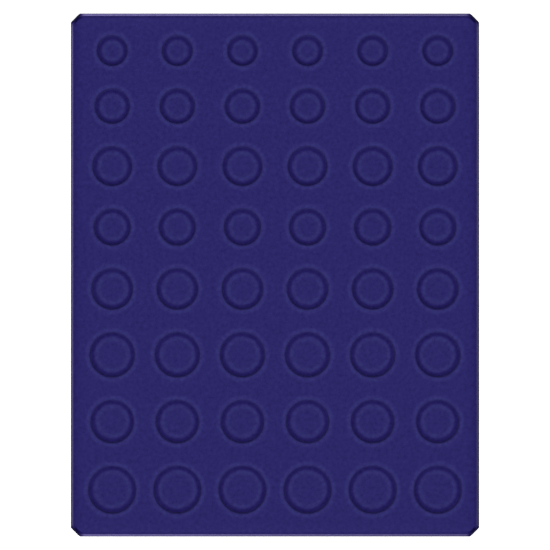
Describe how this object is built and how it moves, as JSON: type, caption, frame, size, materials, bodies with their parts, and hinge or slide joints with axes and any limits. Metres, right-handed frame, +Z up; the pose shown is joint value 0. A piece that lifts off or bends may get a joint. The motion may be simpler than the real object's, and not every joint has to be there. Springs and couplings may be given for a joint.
{
  "type": "coin display tray",
  "caption": "flat rectangular tray with a blue velour surface and rows of round pockets that grow in size from one end to the other",
  "frame": {"origin": "centre of the underside", "axes": "+Z up out of the pockets, +Y along the tray to the row of smallest coins, +X across the rows"},
  "size_m": [0.226, 0.2894, 0.008],
  "materials": {
    "underlay_felt": "needled felt, dark blue",
    "dyed_board": "through-dyed board with a cut edge",
    "tape": "translucent double-sided tape",
    "glue": "set hot-melt glue",
    "formed_film": "vacuum-formed polystyrene, dark blue",
    "flock_adhesive": "dull coat of flock adhesive",
    "velour": "short nylon flock, royal blue"
  },
  "bodies": {
    "root": {"felt_underlay": "underlay_felt", "base_board": "dyed_board", "row_tape_strips": "tape", "rim_glue_line": "glue", "carrier_shell": "formed_film", "flock_adhesive": "flock_adhesive", "velour_pile": "velour"}
  },
  "joints": []
}
